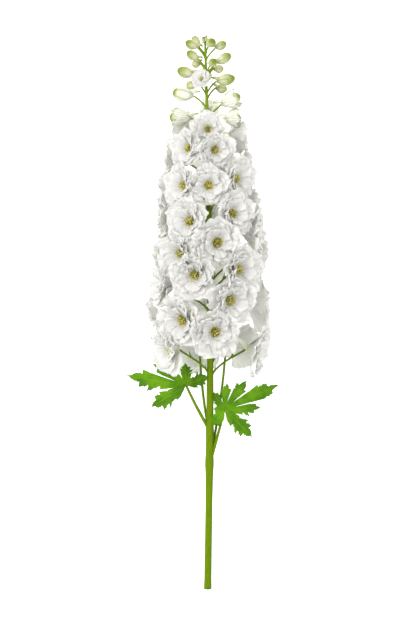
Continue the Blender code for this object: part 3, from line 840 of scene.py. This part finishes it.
# Grey streaks: partly the petal's faint veins, partly painted shade of the wrinkles that the same streaks raise
# in the bump.
veins_and_painted_shade = (lines.between(0.4, 0.75) * 0.7).mix(PETAL_WHITE, PETAL_SHADE)
petal_finish.colour((throat * 0.85).mix(veins_and_painted_shade, PETAL_THROAT))
petal_finish.bump(lines + petal_finish.noise(petal_finish.spot(), 300) * 0.4, 0.5, 0.8 * MM)
glow = petal_finish.node("ShaderNodeBsdfTranslucent", None, {"Color": PETAL_GLOW})
skin = Value(petal_finish, petal_finish.principled.outputs["BSDF"])
lit_skin = petal_finish.node("ShaderNodeMixShader", None, {0: PETAL_TRANSLUCENCE, 1: skin, 2: glow})
petal_finish.feed(petal_finish.tree.nodes["Material Output"], {"Surface": lit_skin})

heart_finish = Shader("receptacle", 0.5)
around, along = heart_finish.marks()
heart_finish.colour(along.between(0.1, 0.9).mix(HEART_WHITE, HEART_GREEN))
filament_finish = Shader("filament", 0.5)
around, along = filament_finish.marks()
filament_finish.colour(along.between(0.2, 0.9).mix(FILAMENT_FOOT, FILAMENT))
anther_finish = Shader("anther", 0.6)
speck = anther_finish.noise(anther_finish.spot(), 400)
anther_finish.colour(speck.between(0.42, 0.6).mix(ANTHER, ANTHER_DARK))

florets = make_florets()
share_room(florets, buds, [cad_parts[name] for name in LEAVES])
for floret in florets:
    shape = Shape()
    for petal in petals_of(floret):
        shape.blade(petal.finished, petal.whorl["columns"], petal.whorl["lines"])
    shape.piece(f"{floret.name}_petals", floret.name, [petal_finish], PETAL_THICKNESS)

    shape = Shape()
    centres = [floret.point(0, up * floret.size, out * floret.size) for up, out, _ in HEART]
    shape.tube(centres, [radius * floret.size for _, _, radius in HEART], 12)
    for number in range(STAMENS):
        stamen(shape, floret, number)
    finishes = [heart_finish, filament_finish, anther_finish]
    shape.piece(f"{floret.name}_heart", floret.name, finishes)

# Stem.
# The main stem with the stalks of the florets, buds and leaves, one plant: juicy green, faintly ribbed,
# swollen where the leaf stalks leave it, and cut square at its foot. Small bracts grow on the pedicels of the
# florets, and three tiny buds at the tip.

STEM_RADII = (
    (0, 4.4), (12, 4.0), (110, 3.9), (165, 4.5), (205, 4.1), (300, 3.4), (450, 3.0), (600, 1.7), (694, 1.2),
)
STEM_RINGS = 120
STEM_FULLER = 0.14
NODE_SWELLING = 0.12
NODE_LENGTH = 9 * MM
STEM_RIBS = 8
PEDICEL_RINGS = 8
STALK_RINGS = 12
LEAF_STALK_RADII = (2.4, 1.5)
SIDE_STALK_RADII = (1.75, 1.45)
# Two bare stalks beside the stem: three points each, across, height and above the stem, in millimetres
SIDE_STALKS = (
    ((-2, 206, -1), (-9, 250, -5), (-13, 302, -3)),
    ((1, 166, -1), (13, 240, -5), (19, 300, -3)),
)
FLORET_SEAT = (-0.05, -0.08)  # up and out, as shares of the floret's size
FLORET_MEETS_FROM = (-0.7, -0.71)
BRACTS = ((0, 11), (5, 6))  # which ring of a pedicel one grows from, and its length in millimetres
BRACT_RADII = (1.0, 1.25, 1.05, 0.6, 0.15)
# The smallest buds, at the very tip: across, height, above the stem, length and width, in millimetres
TIP_BUDS = ((-2.2, 683, 2, 8.5, 4.2), (1.2, 685, 3, 8, 3.8), (3.8, 682, 1, 7.5, 4.4))
# The light and dark stem colours paint one side of the stem lit and the other shaded: painted light and shade.
# The dark one also colours the fine grain streaks.
STEM_PAINTED_LIT = (0.145, 0.235, 0.002)
STEM_GRAIN_AND_PAINTED_SHADE = (0.058, 0.125, 0.001)
STEM_YOUNG = (0.20, 0.28, 0.03)


def stem_radius(height):
    """Thickest at the foot and where the leaf stalks leave the stem, which swells there."""
    radius = float(np.interp(height / MM, *zip(*STEM_RADII))) * MM
    for leaf in LEAVES.values():
        node = leaf["node"][0] * MM
        radius *= 1 + NODE_SWELLING * math.exp(-(((height - node) / NODE_LENGTH) ** 2))
    return radius


def pedicel(bloom, stop, back):
    """The points and radii of a pedicel, which leaves the stem upwards and meets its bloom from behind."""
    distance = (bloom.base - axis_point(bloom.height)).length
    drop = 9 * MM + 0.62 * distance
    centre, _, _, along = axis_frame(bloom.height - drop)
    first = centre + along * 0.35 * drop + (stop - centre) * 0.12
    last = stop + back * 0.34 * distance
    thick = 1.05 * MM + 0.004 * distance
    line = []
    radii = []
    for share in steps(PEDICEL_RINGS):
        rest = 1 - share
        near = centre * rest**3 + first * (3 * share * rest**2)
        far = last * (3 * share**2 * rest) + stop * share**3
        line.append(near + far)
        radii.append(thick * (1.0 + 0.5 * max(0, 0.25 - share) + 0.5 * max(0, share - 0.85)))
    return line, radii


def stalk(shape, points, radii, sides):
    """A stalk that bends through the middle one of three points."""
    start, middle, end = points
    thick, thin = radii
    pull = middle * 2 - (start + end) * 0.5
    line = []
    for share in steps(STALK_RINGS):
        rest = 1 - share
        line.append(start * rest**2 + pull * (2 * share * rest) + end * share**2)
    shape.tube(line, [(thick - (thick - thin) * share) * MM for share in steps(STALK_RINGS)], sides)


stem_finish = Shader("stem", 0.6, Specular_IOR_Level=0.06)
spot = stem_finish.spot()
stretched = stem_finish.node("ShaderNodeMapping", None, {"Vector": spot, "Scale": (1.0, 0.06, 1.0)})
grain = stem_finish.noise(stretched, 700)
youth = stem_finish.node("ShaderNodeSeparateXYZ", None, {0: spot}, 1).between(-0.05, 0.32)
around, _ = stem_finish.marks()
# Painted light and shade: the side of the stem turned towards the key lamp is painted lighter, the far side
# darker.
painted_lit_side = ((around - 0.4) * (2 * math.pi)).of("COSINE").between(-0.7, 0.8)
skin = (grain.between(0.35, 0.7) * 0.35).mix(painted_lit_side.mix(STEM_GRAIN_AND_PAINTED_SHADE, STEM_PAINTED_LIT), STEM_GRAIN_AND_PAINTED_SHADE)
stem_finish.colour((youth * 0.6).mix(skin, STEM_YOUNG))
stem_finish.bump(grain, 0.15, 0.3 * MM)

shape = Shape()
heights = [*steps(STEM_RINGS, 0, SPIKE_LENGTH)[:-1], SPIKE_LENGTH - 2 * MM]
radii = [stem_radius(height) for height in heights]
centres = [axis_point(height) + UP * STEM_FULLER * radius for height, radius in zip(heights, radii)]
fuller = [radius * (1 + STEM_FULLER) for radius in radii]
shape.tube(centres, fuller, 32, ribs=lambda turn, share: 1 + 0.012 * math.cos(STEM_RIBS * turn))
for floret in florets:
    _, rise, forward = floret.frame
    back = rise * FLORET_MEETS_FROM[0] + forward * FLORET_MEETS_FROM[1]
    up, out = FLORET_SEAT
    stop = floret.point(0, up * floret.size, out * floret.size) + back * 0.3 * MM
    line, radii = pedicel(floret, stop, back)
    shape.tube(line, radii, 8)
    outward = (line[4] - line[0]).normalized()
    curl = [outward * share + Vector((0, 0.8, 0)) * share * share for share in steps(4)]
    for ring, length in BRACTS:
        bract = [line[ring] + way * length * MM for way in curl]
        shape.tube(bract, [radius * MM for radius in BRACT_RADII], 6)
for bud in buds:
    back = (-bud.frame[2] - bud.frame[1] * 0.5).normalized()
    shape.tube(*pedicel(bud, bud.base + back * 0.4 * MM, back), 8)
for leaf in LEAVES.values():
    stalk(shape, leaf_stalk(leaf), LEAF_STALK_RADII, 10)
for points in SIDE_STALKS:
    bent = [axis_point(height * MM) + Vector((across, 0, lift)) * MM for across, height, lift in points]
    stalk(shape, bent, SIDE_STALK_RADII, 8)
for across, height, lift, length, width in TIP_BUDS:
    base = axis_point(height * MM) + Vector((across, 0, lift)) * MM
    ahead = Vector((0.16 * across, 6, 1)).normalized() * length * MM
    line = [base + ahead * share for share in steps(8)]
    girths = [0.2 + 0.8 * math.sin(math.pi * min(0.93, 0.08 + 0.9 * share)) ** 0.7 for share in steps(8)]
    shape.tube(line, [width / 2 * MM * part for part in girths], 12, finish=1)
shape.piece("stem_body", "stem", [stem_finish, young_bud])

# Floor, light and camera.
# A plain white table under two soft lamps and an even white room. The camera looks straight down on the
# spike, as the photo looks straight at it, from where the photo's height fills the frame.

FLOOR_WIDTH = 8
FLOOR_WHITE = (0.95, 0.95, 0.95)
FLOOR_GLOW = 0.72
ROOM_LIGHT = 0.95
LIT_SPOT = Vector((0, 0.05, 0.05))
# Place, width in metres and power in watts
LAMPS = dict(key=((-1.2, 0.8, 1.8), 1.2, 26), fill=((1.2, -0.4, 2.1), 1.6, 12))
PIXEL = 1.25 * MM
PHOTO_HEIGHT = 624 * PIXEL
LENS = 100
SENSOR = 36
FOOT_TO_CENTRE = Vector((0.3 * PIXEL, 350.3 * MM))  # from the stem's foot to the photo's centre
SHARP_HEIGHT = 57 * MM  # the height above the table at which a pixel is a pixel of the photo
CLOSER = 0.99

bpy.ops.mesh.primitive_plane_add(size=FLOOR_WIDTH, location=(0, 0, -0.5 * MM))
floor = bpy.context.object
floor.name = "floor"
floor_finish = Shader("floor", 0.9, Emission_Color=(1, 1, 1), Emission_Strength=FLOOR_GLOW)
floor_finish.colour(FLOOR_WHITE)
floor.data.materials.append(floor_finish.material)

scene = bpy.context.scene
scene.view_settings.view_transform = "Standard"
scene.world = bpy.data.worlds.new("studio")
scene.world.use_nodes = True
room = scene.world.node_tree.nodes["Background"]
room.inputs["Color"].default_value = (1, 1, 1, 1)
room.inputs["Strength"].default_value = ROOM_LIGHT

for name, (spot, width, power) in LAMPS.items():
    lamp = bpy.data.lights.new(name, "AREA")
    lamp.size = width
    lamp.energy = power
    lit = bpy.data.objects.new(name, lamp)
    lit.location = spot
    lit.rotation_euler = (LIT_SPOT - Vector(spot)).to_track_quat("-Z", "Y").to_euler()
    scene.collection.objects.link(lit)

camera_data = bpy.data.cameras.new("camera")
camera_data.lens = LENS
camera_data.sensor_width = SENSOR
camera = bpy.data.objects.new("camera", camera_data)
foot = axis_point(0) + SHIFT
aim = foot.xy + FOOT_TO_CENTRE
camera.location = (aim.x, aim.y, SHARP_HEIGHT + CLOSER * PHOTO_HEIGHT * LENS / SENSOR)
scene.collection.objects.link(camera)
scene.camera = camera
